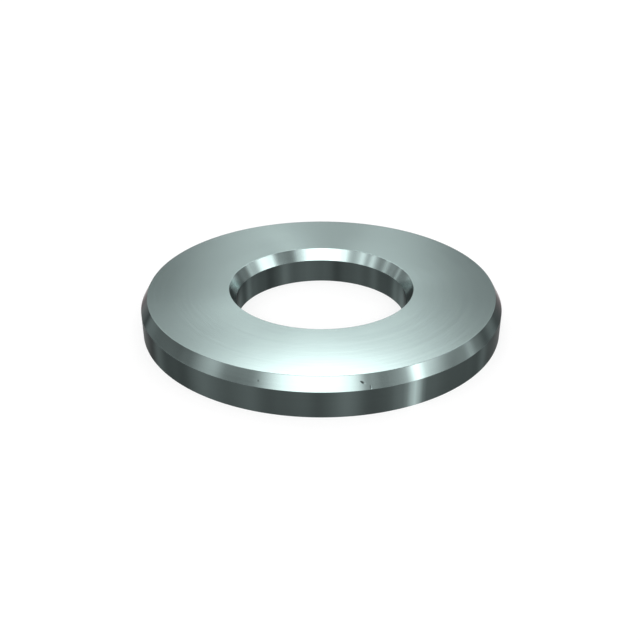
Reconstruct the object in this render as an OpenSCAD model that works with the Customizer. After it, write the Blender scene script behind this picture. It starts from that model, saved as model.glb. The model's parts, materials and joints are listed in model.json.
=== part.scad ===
// Flat round washer turned from steel, chamfered on its upper side.
// Millimetres. The axis is Z, and the underside lies on the plane Z = 0.

/* [Washer] */
// Outside diameter of the rim
outer_d = 22; // [18:0.5:40]
// Diameter of the straight bore
bore_d = 10.5; // [4:0.1:12]
// Distance between the two flat faces
thickness = 2.25; // [1:0.05:3]

/* [Chamfers] */
// Height of the rim and bore chamfers, as a share of the thickness
chamfer_share = 0.32; // [0.25:0.01:0.45]
// Angle between the chamfers and the axis, in degrees
chamfer_angle = 30; // [20:1:45]

/* [Edges] */
// How far back from each turned corner the small flat that breaks it reaches
edge_break = 0.05; // [0.02:0.01:0.1]

/* [Hidden] */
steel_grey = [0.62, 0.68, 0.67];
$fn = 180;

rim_r = outer_d / 2;
bore_r = bore_d / 2;
chamfer_h = chamfer_share * thickness;
chamfer_w = chamfer_h * tan(chamfer_angle);
wall_top = thickness - chamfer_h;

// Corners of the half section, as [radius, height], anticlockwise from the foot of the bore
section = [
    [bore_r, 0],
    [rim_r, 0],
    [rim_r, wall_top],
    [rim_r - chamfer_w, thickness],
    [bore_r + chamfer_w, thickness],
    [bore_r, wall_top]
];

// Point at the edge break's distance from corner a, on the side that leads to corner b
function broken(a, b) = a + edge_break * (b - a) / norm(b - a);

// Half section of the ring, with every corner broken by a small flat
module half_section() {
    last = len(section) - 1;
    polygon([
        for (i = [0 : last]) each [
            broken(section[i], section[i == 0 ? last : i - 1]),
            broken(section[i], section[i == last ? 0 : i + 1])
        ]
    ]);
}

// The ring, turned about its axis from the half section
module washer() {
    color(steel_grey) rotate_extrude() half_section();
}

washer();
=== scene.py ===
"""Looks of a flat washer turned from steel: its mesh and finishes, a floor, lights and a camera."""

import json
import math

import bpy
import numpy as np
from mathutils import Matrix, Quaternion, Vector


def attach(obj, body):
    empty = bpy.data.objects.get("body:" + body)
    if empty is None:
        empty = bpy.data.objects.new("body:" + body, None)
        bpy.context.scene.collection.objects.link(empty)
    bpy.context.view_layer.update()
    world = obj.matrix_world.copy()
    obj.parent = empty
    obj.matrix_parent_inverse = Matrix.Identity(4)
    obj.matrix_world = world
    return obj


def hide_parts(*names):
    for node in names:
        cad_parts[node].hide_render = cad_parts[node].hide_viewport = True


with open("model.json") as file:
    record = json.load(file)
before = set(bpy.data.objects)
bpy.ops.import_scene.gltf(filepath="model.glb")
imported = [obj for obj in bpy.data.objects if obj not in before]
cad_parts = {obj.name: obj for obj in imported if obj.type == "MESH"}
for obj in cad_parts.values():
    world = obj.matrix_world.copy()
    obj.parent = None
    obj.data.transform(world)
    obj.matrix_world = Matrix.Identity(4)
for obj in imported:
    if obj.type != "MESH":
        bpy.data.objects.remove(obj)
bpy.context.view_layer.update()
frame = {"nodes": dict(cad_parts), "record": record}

# One millimetre, in metres
MM = 0.001

# Sizes of the ring in metres, taken from the frame
cad_points = np.array([v.co for v in frame["nodes"]["washer"].data.vertices])
bore = next(m for m in frame["record"]["mounts"] if m["name"] == "bore")
RIM_R = float(np.hypot(cad_points[:, 0], cad_points[:, 1]).max())
THICKNESS = float(cad_points[:, 2].max())
BORE_R = bore["dims"]["r_mm"] * MM

# Chamfers on the upper side, as in the part's source, and the unit vector down the one at the rim, as
# (radius, height)
CHAMFER_SHARE = 0.32
CHAMFER_ANGLE = math.radians(30)
CHAMFER_H = CHAMFER_SHARE * THICKNESS
CHAMFER_W = CHAMFER_H * math.tan(CHAMFER_ANGLE)
CHAMFER_LENGTH = math.hypot(CHAMFER_W, CHAMFER_H)
CHAMFER_DOWN = np.array([CHAMFER_W, -CHAMFER_H]) / CHAMFER_LENGTH

# Sides of the half section, anticlockwise from the underside, and the finish on each
SIDES = {
    "underside": "face",
    "rim": "wall",
    "rim_chamfer": "rim_chamfer",
    "face": "face",
    "bore_chamfer": "bore_chamfer",
    "bore": "wall",
}

# Mesh of the ring: radius of its edges and their even number of steps, spacing of its rows, which is
# finer on the rim chamfer, number of its columns, and the least gap between two columns at the rim
EDGE_R = 0.03 * MM
EDGE_STEPS = 6
ROW_STEP = 0.12 * MM
CHAMFER_ROW_STEP = 0.03 * MM
COLUMNS = 288
LEAST_GAP = 0.006 * MM

# Nicks in the rim chamfer: angle from the front in degrees, share of the way down the chamfer,
# half length, half width and depth in millimetres, slant in degrees, and how dark the dirt in it is
NICKS = [
    (11.1, 0.51, 0.085, 0.026, 0.02, 32, 0.95),
    (13.2, 0.9, 0.09, 0.02, 0.012, 86, 0.8),
    (-17.4, 0.6, 0.05, 0.04, 0.001, 60, 0.75),
]

# Extra columns at each nick, and how many half lengths they reach to each side
NICK_COLUMNS = 31
NICK_REACH = 3

# Painted light: soft bands across the sides where the steel's colour is lifted into painted highlights
# and reflections, and lowered into painted shade where the lift is below 0: angle from the front and half
# width in degrees, and lift
PAINTED_LIGHT_BANDS = {
    "rim": [
        (-61.5, 3, -0.4), (-56, 3, 0.7), (-50, 3, -0.1), (-42, 3.5, -0.3), (-34, 6, 0.5), (-20, 4, 0.35),
        (-14, 3, -0.2), (-9, 3, -0.12), (-1, 3, -0.25), (7, 3, 0.45), (13.3, 2.8, -0.19),
        (21.8, 2.7, 0.72), (26.2, 2, 5.6), (32, 3, 0.22), (54.8, 2.4, 0.8), (66, 5, -0.12),
        (71, 1.8, -0.4), (98, 4, 0.7), (131, 3, 1.0), (160, 6, 0.5), (-172, 3, 0.8), (-141, 4, 0.5),
        (-108, 3, 1.1),
    ],
    "rim_chamfer": [
        (-77.5, 3, 0.6), (-69, 2, -0.35), (-55.5, 8, -0.44), (-42.5, 1.8, 0.25), (-31, 3, 0.2),
        (-27.5, 2, -0.18), (-21.2, 2, 0.34), (12.4, 2, -0.42), (18.3, 2, 0.55), (23.5, 1.7, -0.14),
        (27.2, 2.1, 0.9), (44, 4, 0.6), (48, 2, 1.0), (57.2, 4.5, -0.58), (68, 5, -0.36),
        (78.5, 2.5, 0.2),
    ],
    "face": [
        (-160, 9, 0.1), (-61, 17, 0.17), (-4, 12, 0.05), (47, 20, 0.08), (100, 18, 0.05),
        (171, 16, -0.18),
    ],
    "bore_chamfer": [
        (93.5, 4, 1.6), (99.5, 3, 0.5), (107, 3, -0.16), (115.5, 2, 1.3), (122, 3.5, 0.6),
        (128.8, 3, 1.7), (136, 2, -0.1), (141, 2, 0.3), (145.3, 2, -0.3), (149.8, 2, 0.32),
        (156, 3, -0.16), (162, 2, 0.3), (198, 2.5, 0.3), (211.5, 3, -0.33), (216.5, 1.5, 0.2),
        (231.5, 2.5, -0.3), (238.6, 2.4, 1.15), (252, 3.5, -0.42), (262, 3.5, 1.2), (268, 4, 1.7),
    ],
    "bore": [
        (102, 8, 2.4), (114.5, 4, 1.1), (138.5, 4, 0.5), (150, 5, 0.23), (168, 5, -0.38), (194, 8, 0.24),
        (207.5, 4, 0.7), (220.5, 5, -0.4), (236, 3, 0.3), (243.5, 4, 1.2), (260, 6.5, 1.25),
    ],
}

# Camera: viewing angle, distance and aim point that put the ring where the photograph has it, with the
# lens and the sensor's width in millimetres
VIEW_ELEVATION = math.radians(28.285)
VIEW_DISTANCE = 52.02 * MM
VIEW_AIM = Vector((-0.083, 0, -0.231)) * MM
LENS = 46.35
SENSOR = 36

# Steel: its hue, with green at 1, the colour of dirt in the nicks, how far worn edges are polished, and
# the part of a full turn that lays stretched highlights across the grain
STEEL_HUE = (0.8, 1.0, 0.98)
DIRT = (0.02, 0.024, 0.024, 1)
EDGE_POLISH = 0.06
GRAIN_TURN = 0.25

# Turning marks: pitch and depth in millimetres, share of that depth that shows, how fast they change
# round the axis, the noise's octaves, and how far they change the tone and the roughness, up or down
MARK_PITCH = 0.16
MARK_DEPTH = 0.008
MARK_STRENGTH = 0.07
MARK_DRIFT = 0.8
MARK_DETAIL = 4
MARK_TONE = 0.05
MARK_ROUGHNESS = 0.012

# Clouds, specks and streaks: size in millimetres or number around, the noise's octaves, and how far they
# change the tone or the roughness, up or down, where that is the same on all finishes
CLOUD_SIZE = 3.0
CLOUD_DETAIL = 3
CLOUD_TONE = 0.05
SPECK_SIZE = 0.11
SPECK_DETAIL = 6
SPECK_ROUGHNESS = 0.008
STREAKS_AROUND = 26
STREAK_DETAIL = 3

# Finishes: reflectance seen straight on, share of it that is metal's and not matt, roughness, how far the
# grain stretches highlights, shares of red, green and blue that are left at a grazing angle, and how far
# streaks change the tone
# Painted shade: the chamfers and above all the walls are the same steel as the face, given a lower
# reflectance so that they look darker, as if in shade
FINISHES = {
    "face": dict(
        reflectance=0.545, metal=1, roughness=0.13, stretch=0,
        grazing=(0.5, 0.5, 0.5), streaks=0.02,
    ),
    "rim_chamfer": dict(
        reflectance=0.2375, metal=1, roughness=0.17, stretch=0,
        grazing=(0.285, 0.25, 0.255), streaks=0.1,
    ),
    "bore_chamfer": dict(
        reflectance=0.35, metal=0.85, roughness=0.17, stretch=0,
        grazing=(0.4, 0.4, 0.4), streaks=0.1,
    ),
    # Painted shade: the walls' very low reflectance makes them dark, as if in shade
    "wall": dict(
        reflectance=0.079, metal=1, roughness=0.36, stretch=0.85,
        grazing=(0.455, 0.455, 0.455), streaks=0.25,
    ),
}

# Floor: half its side and how far it lies below the ring, in metres, the grey of its surface, and the
# white that it adds where the camera or a reflection sees it
FLOOR_HALF = 30.0
FLOOR_DROP = 0.01 * MM
FLOOR_ALBEDO = 0.3
FLOOR_GLOW = 0.72

# Surroundings: strength of their light, and the elevation below which it rises to full white
AMBIENT = 0.3
HORIZON = math.radians(12)

# Softboxes: distance in metres, and the middle of a lamp's own coordinates, which run from 0 to 1
LIGHT_DISTANCE = 3.0
LAMP_MIDDLE = 0.5

# Each softbox in degrees as seen from the object: azimuth from the front to the right, elevation, width,
# height and roll, with the radiance in the middle and the share of each half that fades towards the edge
SOFTBOXES = {
    "front": dict(azimuth=-3.5, elevation=32.4, width=75, height=39, radiance=5.8, fade=0.83),
    "back": dict(azimuth=179.2, elevation=37.7, width=28, height=17.1, radiance=6.3, fade=1),
    "low": dict(azimuth=180.1, elevation=23.1, width=24.3, height=26.3, radiance=0.7, fade=0.68),
    "right": dict(azimuth=74.8, elevation=22.8, width=70, height=19.7, radiance=4.9, fade=1),
    "left": dict(
        azimuth=-63.8, elevation=28.1, width=53, height=27.3, radiance=1.6, fade=0.78, roll=33.5,
    ),
    "strip": dict(azimuth=57, elevation=14, width=12, height=27, radiance=1.1, fade=1),
    "top": dict(azimuth=180, elevation=90, width=110, height=110, radiance=0.81, fade=1),
    "fill_right": dict(azimuth=140, elevation=36, width=60, height=44, radiance=0.81, fade=1),
    "fill_left": dict(azimuth=-140, elevation=36, width=60, height=44, radiance=0.81, fade=1),
}


class Graph:
    """The node tree of one material, light or world, with short calls to fill it."""

    def __init__(self, owner):
        owner.use_nodes = True
        self.tree = owner.node_tree
        self.tree.nodes.clear()

    def add(self, kind, inputs=None, **settings):
        """A new node, with its settings made and its inputs fed by name or place."""
        node = self.tree.nodes.new(kind)
        for name, value in settings.items():
            setattr(node, name, value)
        for name, value in (inputs or {}).items():
            self.feed(node.inputs[name], value)
        return node

    def feed(self, socket, value):
        """Links another node's output to the socket, or sets a plain value on it."""
        if isinstance(value, bpy.types.NodeSocket):
            self.tree.links.new(value, socket)
        else:
            socket.default_value = value

    def number(self, operation, a, b=0.0, c=0.0):
        """The result of an operation on numbers."""
        return self.add("ShaderNodeMath", {0: a, 1: b, 2: c}, operation=operation).outputs[0]

    def total(self, first, *others):
        """All the values added up."""
        for other in others:
            first = self.number("ADD", first, other)
        return first

    def vector(self, operation, a, b=(0, 0, 0), scale=1.0):
        """Both outputs of an operation on vectors: the first a vector, and the second a number."""
        # An input that the operation doesn't use can't be found by name, so all go by place
        first_vector, second_vector, factor = 0, 1, 3
        inputs = {first_vector: a, second_vector: b, factor: scale}
        return self.add("ShaderNodeVectorMath", inputs, operation=operation).outputs

    def noise(self, place, scale, detail, w=None):
        """Noise from 0 to 1, mostly near a half; with w it has a fourth coordinate."""
        inputs = {"Vector": place, "Scale": scale, "Detail": detail}
        if w is None:
            return self.add("ShaderNodeTexNoise", inputs).outputs["Fac"]
        return self.add("ShaderNodeTexNoise", {**inputs, "W": w}, noise_dimensions="4D").outputs["Fac"]

    def sway(self, noise, reach):
        """Noise from 0 to 1, turned into a change of up to reach, up or down."""
        return self.number("MULTIPLY_ADD", noise, 2 * reach, -reach)

    def ease(self, value, start, end, low, high):
        """Goes smoothly from low to high as the value goes from start to end."""
        inputs = {"Value": value, "From Min": start, "From Max": end, "To Min": low, "To Max": high}
        return self.add("ShaderNodeMapRange", inputs, interpolation_type="SMOOTHSTEP").outputs["Result"]

    def blend(self, share, a, b):
        """Colour a where share is 0, and b where it is 1."""
        # The node's colour sockets share their names with its number sockets, so they go by place
        first_colour, second_colour, mixed_colour = 6, 7, 2
        inputs = {"Factor": share, first_colour: a, second_colour: b}
        return self.add("ShaderNodeMix", inputs, data_type="RGBA").outputs[mixed_colour]


def half_section():
    """The rounded half section: rows of (radius, height), their outward normals, edge wear and sides.

    A row's side is the one that the strip from it to the next row belongs to."""
    wall_top = THICKNESS - CHAMFER_H
    corners = np.array([
        (BORE_R, 0),
        (RIM_R, 0),
        (RIM_R, wall_top),
        (RIM_R - CHAMFER_W, THICKNESS),
        (BORE_R + CHAMFER_W, THICKNESS),
        (BORE_R, wall_top),
    ])
    along = np.roll(corners, -1, axis=0) - corners
    along /= np.linalg.norm(along, axis=1)[:, None]
    normals = np.stack([along[:, 1], -along[:, 0]], axis=1)

    def arc(i):
        """Points and normals of the rounding that takes the place of corner i."""
        first, last = normals[i - 1], normals[i]
        centre = corners[i] - EDGE_R * (first + last) / (1 + first @ last)
        start = math.atan2(first[1], first[0])
        turn = math.acos(first @ last)
        angles = start + turn * np.linspace(0, 1, EDGE_STEPS + 1)
        out = np.stack([np.cos(angles), np.sin(angles)], axis=1)
        return centre + EDGE_R * out, out

    rows, row_normals, wear, sides = [], [], [], []
    before = list(SIDES)[-1]
    for i, name in enumerate(SIDES):
        points, out = arc(i)
        following = arc((i + 1) % len(corners))[0][0]
        rows += list(points)
        row_normals += list(out)
        wear += list(np.sin(np.linspace(0, math.pi, EDGE_STEPS + 1)))
        sides += [before] * (EDGE_STEPS // 2) + [name] * (EDGE_STEPS // 2)
        before = name
        step = CHAMFER_ROW_STEP if name == "rim_chamfer" else ROW_STEP
        count = max(2, round(np.linalg.norm(following - points[-1]) / step))
        between = np.linspace(0, 1, count + 1)[1:-1, None]
        rows += list(points[-1] + between * (following - points[-1]))
        row_normals += [normals[i]] * (count - 1)
        wear += [0.0] * (count - 1)
        sides += [name] * count
    return np.array(rows), np.array(row_normals), np.array(wear), sides


def column_angles():
    """Angles of the mesh's columns from the front, with extra ones at the nicks and none too close."""
    angles = [np.linspace(0, 2 * math.pi, COLUMNS, endpoint=False)]
    for angle, _, length, _, _, _, _ in NICKS:
        reach = NICK_REACH * length * MM / RIM_R
        angles.append(math.radians(angle) + np.linspace(-reach, reach, NICK_COLUMNS))
    angles = np.sort(np.concatenate(angles) % (2 * math.pi))
    gaps = np.diff(angles, prepend=angles[-1] - 2 * math.pi)
    return angles[gaps * RIM_R > LEAST_GAP]


def turned_from(angles, degrees):
    """How far each angle lies from a direction given in degrees, the short way round, in radians."""
    return (angles - math.radians(degrees) + math.pi) % (2 * math.pi) - math.pi


def nick_depths(rows, angles):
    """How deep each row and column lies in a nick, its slopes down and round there, and its dirt."""
    depth = np.zeros((len(rows), len(angles)))
    down_slope, round_slope, dirt = depth.copy(), depth.copy(), depth.copy()
    from_top = rows - np.array([RIM_R - CHAMFER_W, THICKNESS])
    down = from_top @ CHAMFER_DOWN
    on_chamfer = np.abs(from_top @ np.array([CHAMFER_DOWN[1], -CHAMFER_DOWN[0]])) < EDGE_R
    for angle, share, length, width, deep, slant, dark in NICKS:
        # From the nick's middle, u runs round the rim and v down the chamfer, in millimetres, and a runs
        # along the nick and b across it, in half lengths and half widths
        u = np.broadcast_to(turned_from(angles, angle) * RIM_R, depth.shape) / MM
        v = np.broadcast_to((down - share * CHAMFER_LENGTH)[:, None], depth.shape) / MM
        c, s = math.cos(math.radians(slant)), math.sin(math.radians(slant))
        a, b = (u * c + v * s) / length, (v * c - u * s) / width
        inside = np.exp(-a ** 2 - b ** 2) * on_chamfer[:, None]
        dent = deep * inside
        depth += dent
        dirt += dark * inside
        round_slope += dent * -2 * (a * c / length - b * s / width)
        down_slope += dent * -2 * (a * s / length + b * c / width)
    return depth * MM, down_slope, round_slope, dirt


def painted_light_lifts(sides, angles):
    """How much painted light, as highlights, reflections and shade, lifts or lowers the steel's colour at
    each row and column, from the bands of the row's side.
    """
    painted_lifts = {name: np.zeros(len(angles)) for name in SIDES}
    for name, bands in PAINTED_LIGHT_BANDS.items():
        for angle, half_width, lift in bands:
            turned = np.degrees(turned_from(angles, angle))
            painted_lifts[name] += lift * np.exp(-(turned / half_width) ** 2)
    return np.array([painted_lifts[name] for name in sides])


def turned_ring(finishes):
    """The whole washer as one closed mesh, turned about Z from its half section."""
    rows, row_normals, wear, sides = half_section()
    angles = column_angles()
    depth, down_slope, round_slope, dirt = nick_depths(rows, angles)
    out = np.stack([np.sin(angles), -np.cos(angles), 0 * angles], axis=1)
    tangent = np.stack([np.cos(angles), np.sin(angles), 0 * angles], axis=1)
    up = np.array([0.0, 0.0, 1.0])

    outward = row_normals[:, 0, None, None] * out[None] + row_normals[:, 1, None, None] * up
    down = CHAMFER_DOWN[0] * out + CHAMFER_DOWN[1] * up
    points = rows[:, 0, None, None] * out[None] + rows[:, 1, None, None] * up
    points = points - depth[..., None] * outward
    normals = outward + down_slope[..., None] * down[None] + round_slope[..., None] * tangent[None]
    normals /= np.linalg.norm(normals, axis=2)[..., None]

    n_rows, n_columns = depth.shape
    index = np.arange(n_rows * n_columns).reshape(n_rows, n_columns)
    after = np.roll(index, -1, axis=0)
    quads = np.stack([index, np.roll(index, -1, axis=1), np.roll(after, -1, axis=1), after], axis=-1)

    mesh = bpy.data.meshes.new("turned_washer")
    mesh.from_pydata(points.reshape(-1, 3).tolist(), [], quads.reshape(-1, 4).tolist())
    for material in finishes.values():
        mesh.materials.append(material)
    names = list(finishes)
    indices = np.repeat([names.index(SIDES[side]) for side in sides], n_columns)
    mesh.polygons.foreach_set("material_index", indices)
    mesh.polygons.foreach_set("use_smooth", np.ones(len(indices), bool))
    attributes = {
        "wear": np.repeat(wear, n_columns),
        "dirt": dirt.ravel(),
        # painted highlights, reflections and shade, as lifts of the steel's colour
        "painted_light": painted_light_lifts(sides, angles).ravel(),
    }
    for name, values in attributes.items():
        mesh.attributes.new(name, "FLOAT", "POINT").data.foreach_set("value", values)
    mesh.normals_split_custom_set_from_vertices(normals.reshape(-1, 3).tolist())
    mesh.update()

    ring = bpy.data.objects.new("turned_washer", mesh)
    bpy.context.scene.collection.objects.link(ring)
    return ring


def turned_steel(name, reflectance, metal, roughness, stretch, grazing, streaks):
    """Bare steel with a circular grain, streaks across it, clouds, worn edges, dirty nicks, and painted
    highlights, reflections and shade in bands.
    """
    material = bpy.data.materials.new(name)
    g = Graph(material)
    place = g.add("ShaderNodeTexCoord").outputs["Object"]
    place = g.vector("SCALE", place, scale=1 / MM)[0]
    flat = g.vector("MULTIPLY", place, b=(1, 1, 0))[0]
    radius = g.vector("LENGTH", flat)[1]
    heading = g.vector("NORMALIZE", flat)[0]
    around = g.add("ShaderNodeSeparateXYZ", {"Vector": heading}).outputs
    height = g.add("ShaderNodeSeparateXYZ", {"Vector": place}).outputs["Z"]

    # Turning marks change quickly across the section and slowly round the axis, and streaks the other way
    marks_at = g.add("ShaderNodeCombineXYZ", {"X": radius, "Y": height, "Z": around["X"]}).outputs[0]
    marks_at = g.vector("MULTIPLY", marks_at, b=(1 / MARK_PITCH, 1 / MARK_PITCH, MARK_DRIFT))[0]
    marks = g.noise(marks_at, 1.0, MARK_DETAIL, w=around["Y"])
    streak = g.noise(heading, STREAKS_AROUND / (2 * math.pi), STREAK_DETAIL)
    clouds = g.noise(place, 1 / CLOUD_SIZE, CLOUD_DETAIL)
    specks = g.noise(place, 1 / SPECK_SIZE, SPECK_DETAIL)
    wear = g.add("ShaderNodeAttribute", attribute_name="wear").outputs["Fac"]
    dirt = g.add("ShaderNodeAttribute", attribute_name="dirt").outputs["Fac"]
    # Painted light: bands that lift or lower the steel's colour as painted highlights, reflections and
    # shade
    painted_light = g.add("ShaderNodeAttribute", attribute_name="painted_light").outputs["Fac"]

    # The tone adds random changes in the steel and the painted highlights, reflections and shade of the
    # bands
    changes = [g.sway(clouds, CLOUD_TONE), g.sway(marks, MARK_TONE), g.sway(streak, streaks), painted_light]
    tone = g.total(*changes, 1.0)
    steel = [reflectance * c for c in STEEL_HUE]
    colour = g.vector("SCALE", steel, scale=tone)[0]
    colour = g.blend(g.number("MULTIPLY", wear, EDGE_POLISH), colour, [*STEEL_HUE, 1])
    colour = g.blend(dirt, colour, DIRT)
    rough = g.total(g.sway(marks, MARK_ROUGHNESS), g.sway(specks, SPECK_ROUGHNESS), roughness)

    marks_bump = {"Height": marks, "Strength": MARK_STRENGTH, "Distance": MARK_DEPTH * MM}
    bump = g.add("ShaderNodeBump", marks_bump)
    shader = g.add(
        "ShaderNodeBsdfPrincipled",
        {"Base Color": colour, "Metallic": metal, "Roughness": rough, "Normal": bump.outputs[0],
         "Specular Tint": (*grazing, 1),
         "Anisotropic": stretch, "Anisotropic Rotation": GRAIN_TURN,
         "Tangent": g.add("ShaderNodeTangent", direction_type="RADIAL", axis="Z").outputs[0]},
    )
    g.add("ShaderNodeOutputMaterial", {"Surface": shader.outputs[0]})
    return material


def pale_floor():
    """A large white floor that keeps the object's shadow, as white to the camera as in reflections."""
    material = bpy.data.materials.new("floor")
    g = Graph(material)
    path = g.add("ShaderNodeLightPath").outputs
    seen = g.number("MAXIMUM", path["Is Camera Ray"], path["Is Glossy Ray"])
    diffuse = g.add("ShaderNodeBsdfDiffuse", {"Color": (FLOOR_ALBEDO, FLOOR_ALBEDO, FLOOR_ALBEDO, 1)})
    glow = g.add("ShaderNodeEmission", {"Strength": g.number("MULTIPLY", seen, FLOOR_GLOW)})
    both = g.add("ShaderNodeAddShader", {0: diffuse.outputs[0], 1: glow.outputs[0]})
    g.add("ShaderNodeOutputMaterial", {"Surface": both.outputs[0]})

    corners = [(FLOOR_HALF * x, FLOOR_HALF * y, 0) for x, y in ((-1, -1), (1, -1), (1, 1), (-1, 1))]
    mesh = bpy.data.meshes.new("floor")
    mesh.from_pydata(corners, [], [(0, 1, 2, 3)])
    mesh.materials.append(material)
    floor = bpy.data.objects.new("floor", mesh)
    floor.location.z = -FLOOR_DROP
    bpy.context.scene.collection.objects.link(floor)


def direction(azimuth, elevation):
    """Unit vector towards an azimuth from the front, to the right, and an elevation, both in degrees."""
    a, e = math.radians(azimuth), math.radians(elevation)
    return Vector((math.sin(a) * math.cos(e), -math.cos(a) * math.cos(e), math.sin(e)))


def softbox(name, azimuth, elevation, width, height, radiance, fade, roll=0):
    """A rectangular soft light, brightest in the middle."""
    light = bpy.data.lights.new(name, "AREA")
    light.shape = "RECTANGLE"
    light.size = 2 * LIGHT_DISTANCE * math.tan(math.radians(width / 2))
    light.size_y = 2 * LIGHT_DISTANCE * math.tan(math.radians(height / 2))
    light.energy = radiance * math.pi * light.size * light.size_y
    g = Graph(light)
    place = g.add("ShaderNodeNewGeometry").outputs["Parametric"]
    off_middle = g.vector("SUBTRACT", place, b=(LAMP_MIDDLE, LAMP_MIDDLE, 0))[0]
    off_middle = g.vector("ABSOLUTE", off_middle)[0]
    across = g.add("ShaderNodeSeparateXYZ", {"Vector": off_middle}).outputs
    full_to = LAMP_MIDDLE * (1 - fade)
    shares = [g.ease(across[axis], full_to, LAMP_MIDDLE, 1, 0) for axis in "XY"]
    glow = g.add("ShaderNodeEmission", {"Strength": g.number("MULTIPLY", *shares)})
    g.add("ShaderNodeOutputLight", {"Surface": glow.outputs[0]})
    lamp = bpy.data.objects.new(name, light)
    towards = direction(azimuth, elevation)
    lamp.location = LIGHT_DISTANCE * towards
    lamp.rotation_mode = "QUATERNION"
    turn = Quaternion((0, 0, 1), math.radians(roll))
    lamp.rotation_quaternion = towards.to_track_quat("Z", "Y") @ turn
    bpy.context.scene.collection.objects.link(lamp)


def studio_world():
    """Even, dim light from all round, which goes over into the floor's white at the horizon."""
    world = bpy.data.worlds.new("studio")
    bpy.context.scene.world = world
    g = Graph(world)
    place = g.add("ShaderNodeTexCoord").outputs["Generated"]
    height = g.add("ShaderNodeSeparateXYZ", {"Vector": place}).outputs["Z"]
    strength = g.ease(height, 0, math.sin(HORIZON), 1, AMBIENT)
    back = g.add("ShaderNodeBackground", {"Color": (1, 1, 1, 1), "Strength": strength})
    g.add("ShaderNodeOutputWorld", {"Surface": back.outputs[0]})


def camera():
    """The camera at the photograph's viewing angle."""
    data = bpy.data.cameras.new("camera")
    data.sensor_width = SENSOR
    data.lens = LENS
    data.clip_start = MM
    eye = bpy.data.objects.new("camera", data)
    forward = Vector((0, math.cos(VIEW_ELEVATION), -math.sin(VIEW_ELEVATION)))
    eye.location = VIEW_AIM - VIEW_DISTANCE * forward
    eye.rotation_mode = "QUATERNION"
    eye.rotation_quaternion = forward.to_track_quat("-Z", "Y")
    bpy.context.scene.collection.objects.link(eye)
    bpy.context.scene.camera = eye


finishes = {name: turned_steel("steel_" + name, **values) for name, values in FINISHES.items()}
washer = turned_ring(finishes)
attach(washer, "root")
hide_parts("washer")

pale_floor()
studio_world()
for name, values in SOFTBOXES.items():
    softbox(name, **values)
camera()
bpy.context.scene.view_settings.view_transform = "Standard"
